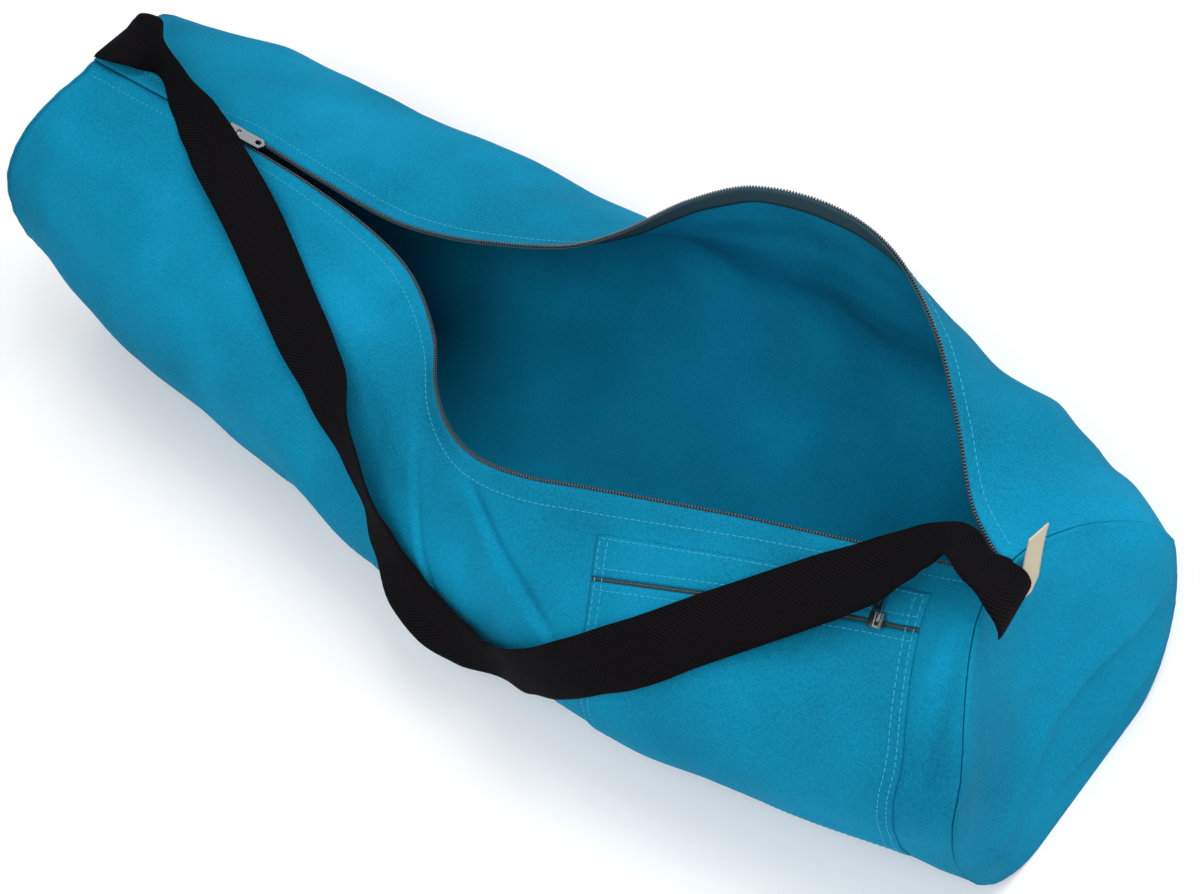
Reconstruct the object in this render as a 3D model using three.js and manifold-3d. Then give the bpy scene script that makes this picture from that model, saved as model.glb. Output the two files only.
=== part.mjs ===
// A soft cloth drum bag with a shoulder strap. It lies on its side with its long zip drawn part open.
// Lengths are in millimetres. +X runs along the bag to its near end, +Y to its back and +Z up.
// The flat patch of cloth that it rests on is at z = 0.

import * as THREE from 'three';
import Module from 'manifold-3d';
import { mergeVertices } from 'three/addons/utils/BufferGeometryUtils.js';

const wasm = await Module();
wasm.setup();

// Driving sizes of the cloth drum
const bagLength = 813;
const drumDiameter = 203;
const clothWall = 1.8;
const seamPull = 34;          // how far the zip draws each end of the top in
const seamPullReach = 115;    // how far down the walls that pull is felt
const panelDish = 15;         // how far the middle of an end panel sinks in
const fit = 0.3;              // space between neighbouring pieces

// The long zip
const tapeWidth = 15;
const tapeThickness = 0.8;
const coilRadius = 1.0;
const coilReach = 2.3;        // from a lip to the middle of its coil
const sliderAt = -0.7;        // where the slider stands, as a share of the half length
const sliderLength = 12;
const sliderWidth = 9;
const pullLength = 27;
const pullWidth = 7;

// The pocket on the front
const pocketRight = 0.92;     // its near edge, as a share of the half length
const pocketWidth = 200;
const pocketHeight = 174;
const pocketDrop = 17;        // how far its near top corner hangs below the lip
const pocketBand = 19;        // from its top edge down to its zip, at the near side
const pocketTilt = 6;         // how much more both of these are at the far side
const pocketCloth = 1.3;
const pocketZipGap = 5;
const pocketCoilRadius = 0.8;
const pocketSliderPlace = 24; // from the near edge to its slider
const pocketPullLength = 17;

// The strap
const strapWidth = 38;
const strapThickness = 2.4;

// The small blank tab sewn in beside the strap
const labelLength = 44;
const labelWidth = 16;
const labelThickness = 0.9;
const labelTurn = 68;         // degrees up from level

const drumRadius = drumDiameter / 2;
const halfLength = bagLength / 2;
const zipHalfGap = coilReach + coilRadius + fit / 2;

// Sections across the drum, from the far end (-1) to the near end (+1). Every width and height is a share
// of the drum's radius. A foot is where the cloth leaves the floor, an out is the widest point of a wall,
// a lip is the wall's edge beside the zip (its Y on top of half of the zip's own width), and a lean is the
// wall's slope there, in degrees from upright.
const sectionColumns = [
  'at', 'backFoot', 'backOut', 'backOutRise', 'backLipY', 'backLipZ', 'backLean',
  'frontFoot', 'frontOut', 'frontOutRise', 'frontLipY', 'frontLipZ', 'frontLean',
];
const sectionRows = [
  [-1.00, 0.44, 1.01, 0.94, 0.105, 1.89, 84, 0.46, 0.93, 0.96, 0.105, 1.89, 96],
  [-0.82, 0.59, 1.24, 0.84, 0.20, 1.67, 82, 0.61, 1.08, 0.80, 0.20, 1.67, 98],
  [-0.74, 0.63, 1.27, 0.81, 0.25, 1.61, 82, 0.66, 1.13, 0.75, 0.25, 1.61, 98],
  [-0.67, 0.65, 1.29, 0.80, 0.29, 1.57, 82, 0.69, 1.16, 0.73, 0.25, 1.57, 98],
  [-0.50, 0.68, 1.33, 0.77, 0.29, 1.51, 80, 0.75, 1.21, 0.69, 0.25, 1.50, 96],
  [-0.32, 0.71, 1.37, 0.75, 0.30, 1.47, 76, 0.79, 1.25, 0.65, 0.19, 1.45, 92],
  [-0.20, 0.73, 1.39, 0.75, 0.38, 1.47, 70, 0.83, 1.29, 0.61, 0.07, 1.43, 84],
  [-0.09, 0.74, 1.40, 0.75, 0.51, 1.49, 62, 0.87, 1.35, 0.57, -0.18, 1.40, 72],
  [-0.02, 0.74, 1.40, 0.76, 0.60, 1.52, 56, 0.89, 1.38, 0.57, -0.44, 1.39, 58],
  [0.06, 0.74, 1.40, 0.77, 0.67, 1.64, 46, 0.91, 1.40, 0.57, -0.62, 1.40, 46],
  [0.14, 0.74, 1.40, 0.77, 0.82, 1.78, 36, 0.92, 1.42, 0.59, -0.68, 1.41, 42],
  [0.24, 0.73, 1.39, 0.79, 1.05, 2.00, 20, 0.92, 1.43, 0.61, -0.63, 1.44, 46],
  [0.34, 0.71, 1.38, 0.81, 1.23, 2.13, 8, 0.91, 1.43, 0.63, -0.51, 1.47, 54],
  [0.47, 0.69, 1.37, 0.83, 1.33, 2.13, 0, 0.87, 1.41, 0.67, -0.35, 1.50, 64],
  [0.60, 0.65, 1.37, 0.85, 1.25, 2.12, 8, 0.79, 1.32, 0.73, -0.20, 1.54, 74],
  [0.73, 0.61, 1.34, 0.90, 0.97, 2.07, 36, 0.71, 1.23, 0.79, -0.07, 1.59, 82],
  [0.83, 0.56, 1.29, 0.96, 0.62, 1.98, 60, 0.62, 1.15, 0.85, 0.02, 1.65, 88],
  [0.91, 0.50, 1.18, 1.02, 0.31, 1.90, 72, 0.55, 1.08, 0.89, 0.06, 1.74, 92],
  [1.00, 0.42, 0.97, 1.08, 0.105, 1.89, 84, 0.45, 1.01, 0.91, 0.105, 1.89, 96],
];

// How finely the cloth is cut into facets
const stationCount = 44;
const lipFacets = 2;
const lipFacet = 6;
const facetsPerSide = 12;
const pocketSteps = 12;

// A smooth curve through one column of the section table, read at any place along the bag
function sectionValue(column, at) {
  const index = sectionColumns.indexOf(column);
  const last = sectionRows.length - 1;
  let k = 0;
  while (k < last - 1 && at > sectionRows[k + 1][0]) k += 1;
  const slope = (n) => {
    const before = sectionRows[Math.max(n - 1, 0)];
    const after = sectionRows[Math.min(n + 1, last)];
    return (after[index] - before[index]) / (after[0] - before[0]);
  };
  const span = sectionRows[k + 1][0] - sectionRows[k][0];
  const t = (at - sectionRows[k][0]) / span;
  const fromStart = (1 + 2 * t) * (1 - t) ** 2 * sectionRows[k][index] + t * (1 - t) ** 2 * span * slope(k);
  const fromEnd = t * t * (3 - 2 * t) * sectionRows[k + 1][index] - t * t * (1 - t) * span * slope(k + 1);
  return fromStart + fromEnd;
}

// One side of a section, from its lip down to its foot: side is +1 for the back and -1 for the front.
// It has narrow facets beside the lip, where the zip tape lies, and even ones below.
function sideOutline(at, side) {
  const value = (column) => sectionValue((side > 0 ? 'back' : 'front') + column, at);
  const foot = new THREE.Vector2(side * value('Foot') * drumRadius, 0);
  const out = new THREE.Vector2(side * value('Out') * drumRadius, value('OutRise') * drumRadius);
  const lip = new THREE.Vector2(value('LipY') * drumRadius + side * zipHalfGap, value('LipZ') * drumRadius);
  const lean = THREE.MathUtils.degToRad(value('Lean'));
  const up = new THREE.Vector2(-side * Math.sin(lean), Math.cos(lean));
  const reach = 0.39 * out.distanceTo(lip);
  const roundness = 0.55;
  const path = new THREE.CurvePath();
  path.add(new THREE.CubicBezierCurve(
    lip,
    lip.clone().addScaledVector(up, -reach),
    new THREE.Vector2(out.x, out.y + reach),
    out,
  ));
  path.add(new THREE.CubicBezierCurve(
    out,
    new THREE.Vector2(out.x, out.y * (1 - roundness)),
    new THREE.Vector2(foot.x + roundness * (out.x - foot.x), 0),
    foot,
  ));
  const length = path.getLength();
  const downs = [];
  for (let k = 0; k < lipFacets; k += 1) downs.push(k * lipFacet);
  const rest = length - lipFacets * lipFacet;
  for (let k = 0; k <= facetsPerSide; k += 1) downs.push(length - rest * (1 - k / facetsPerSide));
  return downs.map((down) => path.getPoint(Math.min(down / length, 1)));
}

// The whole outline of the cloth at one place along the bag, from the back lip under to the front lip
function sectionOutline(at) {
  const back = sideOutline(at, 1);
  const front = sideOutline(at, -1).reverse();
  const underneath = back[back.length - 1].clone().lerp(front[0], 0.5);
  return [...back, underneath, ...front];
}

const stations = [];
for (let k = 0; k <= stationCount; k += 1) stations.push(-1 + (2 * k) / stationCount);
const outlines = stations.map(sectionOutline);

// The facetted outline at any place: it lies on the facets between the two nearest stations
function outlineAt(at) {
  const place = ((at + 1) / 2) * stationCount;
  const k = Math.min(Math.max(Math.floor(place), 0), stationCount - 1);
  return outlines[k].map((point, n) => point.clone().lerp(outlines[k + 1][n], place - k));
}

// The stations from one place to another, both ends included
function stationsBetween(from, to) {
  const margin = 0.3 / stationCount;
  const inner = stations.filter((at) => at > from + margin && at < to - margin);
  return [from, ...inner, to];
}

// How far each corner of an outline lies below its first corner, measured along the cloth
function downsAlong(path) {
  let down = 0;
  return path.map((point, n) => {
    if (n > 0) down += point.distanceTo(path[n - 1]);
    return down;
  });
}

// How far the zip draws the cloth in toward the middle, `down` millimetres below a lip
function pullAt(down) {
  return seamPull * (1 - THREE.MathUtils.smoothstep(down, 0, seamPullReach));
}

// A section point as a point of the bag
function bagPoint(at, point, down) {
  return new THREE.Vector3(at * (halfLength - pullAt(down)), point.x, point.y);
}

// The place that lies `down` millimetres below a lip and `raise` outside the cloth, as a section point
function wallPlace(outline, side, down, raise) {
  const path = side > 0 ? outline : [...outline].reverse();
  const downs = downsAlong(path);
  let k = 0;
  while (k < path.length - 2 && downs[k + 1] < down - 1e-6) k += 1;
  const heading = (n) => {
    const a = THREE.MathUtils.clamp(n, 0, path.length - 2);
    return path[a + 1].clone().sub(path[a]).normalize();
  };
  const t = (down - downs[k]) / (downs[k + 1] - downs[k]);
  const before = heading(k - 1).add(heading(k));
  const after = heading(k).add(heading(k + 1));
  const along = before.normalize().lerp(after.normalize(), THREE.MathUtils.clamp(t, 0, 1)).normalize();
  const outward = new THREE.Vector2(-side * along.y, side * along.x);
  return path[k].clone().lerp(path[k + 1], t).addScaledVector(outward, raise);
}

function clothPoint(at, side, down, raise = 0) {
  return bagPoint(at, wallPlace(outlineAt(at), side, down, raise), down);
}

// A closed solid swept through rings that all have the same even number of points. Each four-cornered
// facet is folded along its outer diagonal, so that layers of cloth that lie together fold alike.
function sweptSolid(rings) {
  const size = rings[0].length;
  const points = rings.flat();
  const faces = [];
  const outness = (a, b) => {
    const middle = points[a].clone().add(points[b]).multiplyScalar(0.5);
    return Math.hypot(middle.y, middle.z - drumRadius);
  };
  for (let i = 0; i + 1 < rings.length; i += 1) {
    for (let j = 0; j < size; j += 1) {
      const next = (j + 1) % size;
      const [a, b] = [i * size + j, i * size + next];
      const [c, d] = [b + size, a + size];
      if (outness(a, c) >= outness(b, d)) faces.push(a, b, c, a, c, d);
      else faces.push(a, b, d, b, c, d);
    }
  }
  const lastRing = (rings.length - 1) * size;
  for (let j = 0; j < size / 2 - 1; j += 1) {
    const [a, b, c, d] = [j, j + 1, size - 2 - j, size - 1 - j];
    faces.push(a, c, b, a, d, c);
    faces.push(lastRing + a, lastRing + b, lastRing + c);
    faces.push(lastRing + a, lastRing + c, lastRing + d);
  }
  return closedGeometry(points, faces);
}

// A geometry from corners and faces, turned so that its faces point out
function closedGeometry(points, faces) {
  let volume = 0;
  for (let k = 0; k < faces.length; k += 3) {
    volume += points[faces[k]].dot(points[faces[k + 1]].clone().cross(points[faces[k + 2]]));
  }
  const outward = volume > 0 ? faces : faces.slice().reverse();
  const geometry = new THREE.BufferGeometry();
  geometry.setAttribute('position', new THREE.Float32BufferAttribute(points.flatMap((p) => [p.x, p.y, p.z]), 3));
  geometry.setIndex(outward);
  return geometry;
}

const bag = new THREE.Group();

function addPiece(name, geometry, material) {
  const mesh = new THREE.Mesh(geometry, material);
  mesh.name = name;
  bag.add(mesh);
  return mesh;
}

const canvas = new THREE.MeshStandardMaterial({ color: 0x1a83a9, roughness: 0.9, metalness: 0 });
const webbing = new THREE.MeshStandardMaterial({ color: 0x121013, roughness: 0.85, metalness: 0 });
const zipTape = new THREE.MeshStandardMaterial({ color: 0x33474c, roughness: 0.9, metalness: 0 });
const zipCoil = new THREE.MeshStandardMaterial({ color: 0x4a5054, roughness: 0.45, metalness: 0 });
const zipMetal = new THREE.MeshStandardMaterial({ color: 0xa9aeb0, roughness: 0.3, metalness: 1 });
const cotton = new THREE.MeshStandardMaterial({ color: 0xc9bfa4, roughness: 0.95, metalness: 0 });

// The cloth wall, open along the zip from one end to the other
function clothWallSolid() {
  const rings = stations.map((at, i) => {
    const downs = downsAlong(outlines[i]);
    const girth = downs[downs.length - 1];
    const layer = (raise) => downs.map((down) => (
      bagPoint(at, wallPlace(outlines[i], 1, down, raise), Math.min(down, girth - down))
    ));
    return [...layer(0), ...layer(-clothWall).reverse()];
  });
  return sweptSolid(rings);
}

addPiece('body_wall', clothWallSolid(), canvas);

// The two end panels: each is sewn over one end of the wall and sinks in at its middle
const panelRings = [1, 0.95, 0.7, 0.4];

function endPanelSolid(end) {
  const outline = outlines[end > 0 ? stationCount : 0];
  const downs = downsAlong(outline);
  const girth = downs[downs.length - 1];
  const rim = outline.map((point, n) => bagPoint(end, point, Math.min(downs[n], girth - downs[n])));
  const middle = rim.reduce((sum, p) => sum.add(p), new THREE.Vector3()).divideScalar(rim.length);
  const layer = (outward) => {
    const points = panelRings.flatMap((share) => rim.map((p) => {
      const dish = panelDish * (1 - THREE.MathUtils.smoothstep(share, 0.15, 0.95));
      const point = middle.clone().lerp(p, share);
      point.x += end * (outward - dish);
      return point;
    }));
    const centre = middle.clone();
    centre.x += end * (outward - panelDish);
    return [...points, centre];
  };
  const size = rim.length;
  const count = panelRings.length * size + 1;
  const points = [...layer(fit), ...layer(fit + clothWall)];
  const faces = [];
  for (const face of [0, 1]) {
    const turned = (a, b, c) => (face ? faces.push(a, b, c) : faces.push(a, c, b));
    for (let j = 0; j < size; j += 1) {
      const next = (j + 1) % size;
      for (let i = 0; i + 1 < panelRings.length; i += 1) {
        const a = face * count + i * size;
        turned(a + j, a + next, a + size + next);
        turned(a + j, a + size + next, a + size + j);
      }
      const inner = face * count + (panelRings.length - 1) * size;
      turned(inner + j, inner + next, face * count + count - 1);
    }
  }
  for (let j = 0; j < size; j += 1) {
    const next = (j + 1) % size;
    faces.push(j, next, count + next, j, count + next, count + j);
  }
  return closedGeometry(points, faces);
}

addPiece('end_panel_far', endPanelSolid(-1), canvas);
addPiece('end_panel_near', endPanelSolid(1), canvas);

// A strip that follows the cloth: `downs` are its places across and `raises` are its two faces
function clothStrip(side, from, to, downs, raises) {
  return sweptSolid(stationsBetween(from, to).map((at) => [
    ...downs.map((down) => clothPoint(at, side, down, raises[1])),
    ...downs.slice().reverse().map((down) => clothPoint(at, side, down, raises[0])),
  ]));
}

// The points of a round rod's section: `place` turns steps down and out into a point
function rodRing(place, radius, sides = 6) {
  const ring = [];
  for (let k = 0; k < sides; k += 1) {
    const angle = (2 * Math.PI * (k + 0.5)) / sides;
    ring.push(place(radius * Math.cos(angle), radius * Math.sin(angle)));
  }
  return ring;
}

// The long zip: a tape inside each lip, with half of the coil along its edge
const tapeTop = -clothWall - fit;
const coilRaise = tapeTop + fit + coilRadius;
const tapeEdge = -coilReach - coilRadius + 0.2;
const zipEnd = 1 - fit / halfLength;

for (const [name, side] of [['back', 1], ['front', -1]]) {
  const downs = [tapeEdge];
  for (let k = 0; k < lipFacets; k += 1) downs.push(k * lipFacet);
  downs.push(tapeWidth + tapeEdge);
  const raises = [tapeTop - tapeThickness, tapeTop];
  addPiece(`zip_tape_${name}`, clothStrip(side, -zipEnd, zipEnd, downs, raises), zipTape);
  const rings = stationsBetween(-zipEnd, zipEnd).map((at) => (
    rodRing((down, out) => clothPoint(at, side, down - coilReach, coilRaise + out), coilRadius)
  ));
  addPiece(`zip_coil_${name}`, sweptSolid(rings), zipCoil);
}

function boxBetween([x0, y0, z0], [x1, y1, z1]) {
  const box = new THREE.BoxGeometry(x1 - x0, y1 - y0, z1 - z0);
  return box.translate((x0 + x1) / 2, (y0 + y1) / 2, (z0 + z1) / 2);
}

function joined(...geometries) {
  const solids = geometries.map((geometry) => {
    geometry.deleteAttribute('normal');
    geometry.deleteAttribute('uv');
    const merged = mergeVertices(geometry);
    return new wasm.Manifold(new wasm.Mesh({
      numProp: 3,
      vertProperties: new Float32Array(merged.attributes.position.array),
      triVerts: new Uint32Array(merged.index.array),
    }));
  });
  const mesh = solids.reduce((whole, solid) => whole.add(solid)).getMesh();
  const geometry = new THREE.BufferGeometry();
  geometry.setAttribute('position', new THREE.Float32BufferAttribute(mesh.vertProperties, 3));
  geometry.setIndex([...mesh.triVerts]);
  return geometry;
}

// An arch that holds a pull: it stands on z = `base` and its opening looks across the arch
const archWall = 1.1;
const archOpening = { length: 5.4, height: 2.0 };

function arch(base, width) {
  const half = archOpening.length / 2;
  const top = base + archOpening.height;
  return [
    boxBetween([-half - archWall, -width / 2, base - 0.4], [-half, width / 2, top + 0.2]),
    boxBetween([half, -width / 2, base - 0.4], [half + archWall, width / 2, top + 0.2]),
    boxBetween([-half - archWall, -width / 2, top], [half + archWall, width / 2, top + archWall]),
  ];
}

// A flat pull whose first bar lies at the origin, with an eye that passes round the arch and a second hole
function pullSolid({ length, width, thickness, bar, eyeLength, eyeWidth, hole }) {
  const tip = width * 0.4;
  const outline = new THREE.Shape();
  outline.moveTo(-bar, -width / 2);
  outline.lineTo(length - tip, -width / 2);
  outline.lineTo(length, -width / 2 + tip);
  outline.lineTo(length, width / 2 - tip);
  outline.lineTo(length - tip, width / 2);
  outline.lineTo(-bar, width / 2);
  outline.closePath();
  const eye = new THREE.Path();
  eye.moveTo(bar, -eyeWidth / 2);
  eye.lineTo(bar, eyeWidth / 2);
  eye.lineTo(bar + eyeLength, eyeWidth / 2);
  eye.lineTo(bar + eyeLength, -eyeWidth / 2);
  eye.closePath();
  const second = new THREE.Path();
  second.absellipse(hole.from + hole.length / 2, 0, hole.length / 2, hole.width / 2, 0, 2 * Math.PI, true);
  outline.holes.push(eye, second);
  const solid = new THREE.ExtrudeGeometry(outline, { depth: thickness, bevelEnabled: false, curveSegments: 8 });
  return mergeVertices(solid.translate(0, 0, -thickness / 2).deleteAttribute('normal').deleteAttribute('uv'));
}

// A frame that stands on the cloth: x along the bag, z out of the cloth
function standingFrame(origin, alongPoint, acrossPoint) {
  const x = alongPoint.clone().sub(origin).normalize();
  const y = acrossPoint.clone().sub(origin);
  y.addScaledVector(x, -y.dot(x)).normalize();
  const z = x.clone().cross(y);
  return new THREE.Matrix4().makeBasis(x, y, z).setPosition(origin);
}

// The long zip's slider: two plates, the post that parts the coils, and the arch of its pull
const plate = 1.2;
const sliderStep = sliderLength / 2 / halfLength;
const lipMiddle = (at) => clothPoint(at, 1, 0).lerp(clothPoint(at, -1, 0), 0.5);
const sliderFrame = standingFrame(
  lipMiddle(sliderAt),
  lipMiddle(sliderAt + sliderStep),
  clothPoint(sliderAt, 1, 0),
);
const slideHalf = [sliderLength / 2, sliderWidth / 2];
const topPlate = Math.max(coilRaise + coilRadius, 0) + 3 * fit;
const underPlate = tapeTop - tapeThickness - 2 * fit;
const slider = addPiece('main_slider', joined(
  boxBetween([-slideHalf[0], -slideHalf[1], topPlate], [slideHalf[0], slideHalf[1], topPlate + plate]),
  boxBetween([-slideHalf[0], -slideHalf[1], underPlate - plate], [slideHalf[0], slideHalf[1], underPlate]),
  boxBetween([slideHalf[0] - 1.5, -0.3, underPlate - 0.5], [slideHalf[0], 0.3, topPlate + 0.5]),
  ...arch(topPlate + plate, 3),
), zipMetal);
slider.applyMatrix4(sliderFrame);

const mainPull = addPiece('main_pull', pullSolid({
  length: pullLength,
  width: pullWidth,
  thickness: 1.2,
  bar: 0.7,
  eyeLength: 0.74 * pullWidth,
  eyeWidth: 0.6 * pullWidth,
  hole: { from: 0.72 * pullLength, length: 0.19 * pullLength, width: 0.48 * pullWidth },
}), zipMetal);
mainPull.position.z = topPlate + plate + archOpening.height / 2;
mainPull.updateMatrix();
mainPull.applyMatrix4(sliderFrame);

// The strap: one length of webbing, sewn in at both end seams. Each row is a place on its middle line
// and the direction across it, as shares of the half length and of the drum's radius.
const strapColumns = ['x', 'y', 'z', 'acrossX', 'acrossY', 'acrossZ'];
const strapRows = [
  [-0.916, 0.28, 1.92, 0.00, 0.97, -0.17],
  [-0.888, 0.31, 1.96, -0.10, 0.92, 0.08],
  [-0.854, 0.36, 1.97, -0.25, 0.82, 0.40],
  [-0.827, 0.38, 1.94, -0.30, 0.62, 0.68],
  [-0.792, 0.33, 1.91, 0.15, 0.35, 0.85],
  [-0.728, 0.21, 1.84, 0.40, 0.45, 0.70],
  [-0.664, 0.12, 1.75, 0.42, 0.75, 0.45],
  [-0.605, 0.02, 1.68, 0.38, 0.90, 0.20],
  [-0.477, -0.20, 1.57, 0.40, 0.91, 0.07],
  [-0.293, -0.58, 1.42, 0.44, 0.87, 0.25],
  [-0.194, -0.77, 1.35, 0.42, 0.72, 0.50],
  [-0.093, -1.02, 1.28, 0.40, 0.25, 0.85],
  [-0.020, -1.20, 1.15, 0.35, 0.10, 0.90],
  [0.025, -1.32, 0.99, 0.10, 0.42, 0.88],
  [0.086, -1.45, 0.84, -0.02, 0.66, 0.74],
  [0.140, -1.50, 0.78, 0.18, 0.64, 0.72],
  [0.204, -1.50, 0.73, 0.30, 0.45, 0.82],
  [0.261, -1.47, 0.70, 0.20, 0.10, 0.96],
  [0.322, -1.47, 0.84, -0.12, 0.12, 0.98],
  [0.384, -1.42, 1.00, -0.25, 0.25, 0.93],
  [0.443, -1.31, 1.16, -0.35, 0.38, 0.85],
  [0.522, -1.08, 1.31, -0.75, 0.50, 0.40],
  [0.573, -0.88, 1.40, -0.82, 0.52, 0.22],
  [0.667, -0.57, 1.60, -0.80, 0.58, 0.13],
  [0.711, -0.43, 1.70, -0.83, 0.54, 0.05],
  [0.772, -0.24, 1.84, -0.76, 0.62, -0.10],
  [0.812, -0.09, 1.95, -0.66, 0.62, -0.35],
  [0.841, 0.00, 2.02, -0.60, 0.62, -0.50],
  [0.868, 0.04, 2.06, -0.56, 0.60, -0.56],
  [0.898, 0.02, 2.06, -0.50, 0.66, -0.54],
  [0.924, 0.00, 2.05, -0.38, 0.80, -0.42],
  [0.945, -0.02, 2.00, -0.28, 0.90, -0.28],
  [0.956, -0.03, 1.93, -0.22, 0.94, -0.20],
  [0.958, -0.04, 1.87, -0.18, 0.95, -0.22],
];
const strapSteps = 66;

function strapSolid() {
  const value = (row, column) => row[strapColumns.indexOf(column)];
  const middles = new THREE.CatmullRomCurve3(strapRows.map((row) => new THREE.Vector3(
    value(row, 'x') * halfLength,
    value(row, 'y') * drumRadius,
    value(row, 'z') * drumRadius,
  )), false, 'centripetal');
  const acrosses = strapRows.map((row) => (
    new THREE.Vector3(value(row, 'acrossX'), value(row, 'acrossY'), value(row, 'acrossZ')).normalize()
  ));
  const rings = [];
  for (let k = 0; k <= strapSteps; k += 1) {
    const place = (k / strapSteps) * (strapRows.length - 1);
    const n = Math.min(Math.floor(place), strapRows.length - 2);
    const middle = middles.getPoint(k / strapSteps);
    const heading = middles.getTangent(k / strapSteps);
    const across = acrosses[n].clone().lerp(acrosses[n + 1], place - n);
    across.addScaledVector(heading, -across.dot(heading)).setLength(strapWidth / 2);
    const normal = heading.clone().cross(across).setLength(strapThickness / 2);
    const corner = (side, face) => middle.clone().addScaledVector(across, side).addScaledVector(normal, face);
    rings.push([corner(-1, -1), corner(0, -1), corner(1, -1), corner(1, 1), corner(0, 1), corner(-1, 1)]);
  }
  return sweptSolid(rings);
}

addPiece('strap', strapSolid(), webbing);

// The pocket: `across` is measured from its near edge and `down` from the front lip
const pocketTop = (across) => pocketDrop + pocketTilt * (across / pocketWidth);
const pocketZip = (across) => pocketTop(across) + pocketBand + pocketTilt * (across / pocketWidth);
const pocketBottom = () => pocketDrop + pocketHeight;
const pocketPlaceAt = (across, down) => pocketRight - across / (halfLength - pullAt(down));

function pocketPoint(across, down, raise) {
  return clothPoint(pocketPlaceAt(across, down), -1, down, raise);
}

// The depths of the cloth's own corners at one place of the pocket, so that a strip bends where they do
function cornerDowns(across, nearDown) {
  return downsAlong([...outlineAt(pocketPlaceAt(across, nearDown))].reverse());
}

function pocketStrip(topEdge, bottomEdge, raises) {
  const places = Array.from({ length: pocketSteps + 1 }, (_, k) => (pocketWidth * k) / pocketSteps);
  const cornersInside = new Set(places.flatMap((across) => {
    const downs = cornerDowns(across, (topEdge(across) + bottomEdge(across)) / 2);
    return downs.map((down, n) => n).filter((n) => downs[n] > topEdge(across) && downs[n] < bottomEdge(across));
  }));
  const corners = [...cornersInside].sort((a, b) => a - b);
  return sweptSolid(places.map((across) => {
    const [top, bottom] = [topEdge(across), bottomEdge(across)];
    const inner = corners.map((n, i) => THREE.MathUtils.clamp(
      cornerDowns(across, cornerDowns(across, (top + bottom) / 2)[n])[n],
      top + 0.4 * (i + 1),
      bottom - 0.4 * (corners.length - i),
    ));
    const downs = [top, ...inner, bottom];
    return [
      ...downs.map((down) => pocketPoint(across, down, raises[1])),
      ...downs.slice().reverse().map((down) => pocketPoint(across, down, raises[0])),
    ];
  }));
}

const halfZipGap = pocketZipGap / 2;
const pocketRaises = [fit, fit + pocketCloth];
const pocketTapeTop = fit + tapeThickness;
const pocketCoilRaise = pocketTapeTop + fit + pocketCoilRadius;

addPiece('pocket_band', pocketStrip(pocketTop, (across) => pocketZip(across) - halfZipGap, pocketRaises), canvas);
addPiece(
  'pocket_panel',
  pocketStrip((across) => pocketZip(across) + halfZipGap, pocketBottom, pocketRaises),
  canvas,
);
addPiece('pocket_zip_tape', pocketStrip(
  (across) => pocketZip(across) - halfZipGap + fit,
  (across) => pocketZip(across) + halfZipGap - fit,
  [fit, pocketTapeTop],
), zipTape);

function pocketCoilSolid() {
  const rings = [];
  for (let k = 0; k <= pocketSteps; k += 1) {
    const across = fit + ((pocketWidth - 2 * fit) * k) / pocketSteps;
    const place = (down, out) => pocketPoint(across, pocketZip(across) + down, pocketCoilRaise + out);
    rings.push(rodRing(place, pocketCoilRadius));
  }
  return sweptSolid(rings);
}

addPiece('pocket_zip_coil', pocketCoilSolid(), zipCoil);

// The pocket's slider straddles its coil. Its arch stands across the zip, and its pull lies up the cloth.
const pocketSliderLength = 9;
const pocketSliderWidth = 8;
const pocketSliderOrigin = pocketPoint(pocketSliderPlace, pocketZip(pocketSliderPlace), 0);
const pocketSliderFrame = standingFrame(
  pocketSliderOrigin,
  pocketPoint(pocketSliderPlace - 5, pocketZip(pocketSliderPlace - 5), 0),
  pocketPoint(pocketSliderPlace, pocketZip(pocketSliderPlace) - 5, 0),
);
const pocketPlate = pocketCoilRaise + pocketCoilRadius + 2 * fit;
const skirt = [pocketCoilRadius + fit, pocketCoilRadius + fit + 0.9];
const skirtFoot = pocketTapeTop + fit;
const pocketHalf = [pocketSliderLength / 2, pocketSliderWidth / 2];
const pocketSlider = addPiece('pocket_slider', joined(
  boxBetween([-pocketHalf[0], -pocketHalf[1], pocketPlate], [pocketHalf[0], pocketHalf[1], pocketPlate + plate]),
  boxBetween([-pocketHalf[0], skirt[0], skirtFoot], [pocketHalf[0], skirt[1], pocketPlate + 0.5]),
  boxBetween([-pocketHalf[0], -skirt[1], skirtFoot], [pocketHalf[0], -skirt[0], pocketPlate + 0.5]),
  ...arch(pocketPlate + plate, 2.6).map((box) => box.rotateZ(Math.PI / 2)),
), zipMetal);
pocketSlider.applyMatrix4(pocketSliderFrame);

const pocketPull = addPiece('pocket_pull', pullSolid({
  length: pocketPullLength,
  width: 0.33 * pocketPullLength,
  thickness: 1.0,
  bar: 0.6,
  eyeLength: 0.28 * pocketPullLength,
  eyeWidth: 0.21 * pocketPullLength,
  hole: { from: 0.44 * pocketPullLength, length: 0.41 * pocketPullLength, width: 0.18 * pocketPullLength },
}), zipMetal);
pocketPull.position.z = pocketPlate + plate + archOpening.height / 2;
pocketPull.rotation.z = Math.PI / 2;
pocketPull.updateMatrix();
pocketPull.applyMatrix4(pocketSliderFrame);

// The blank cotton tab, sewn in at the near end seam under the strap's end
const nearSeam = halfLength - pullAt(0.7 * labelLength) + 2 * fit + clothWall;
const labelTab = addPiece('label_tab', new THREE.BoxGeometry(labelThickness, labelLength, labelWidth), cotton);
labelTab.position.set(
  nearSeam + labelThickness / 2,
  0.22 * drumRadius,
  1.87 * drumRadius,
);
labelTab.rotation.x = THREE.MathUtils.degToRad(labelTurn);

export default bag;
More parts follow.
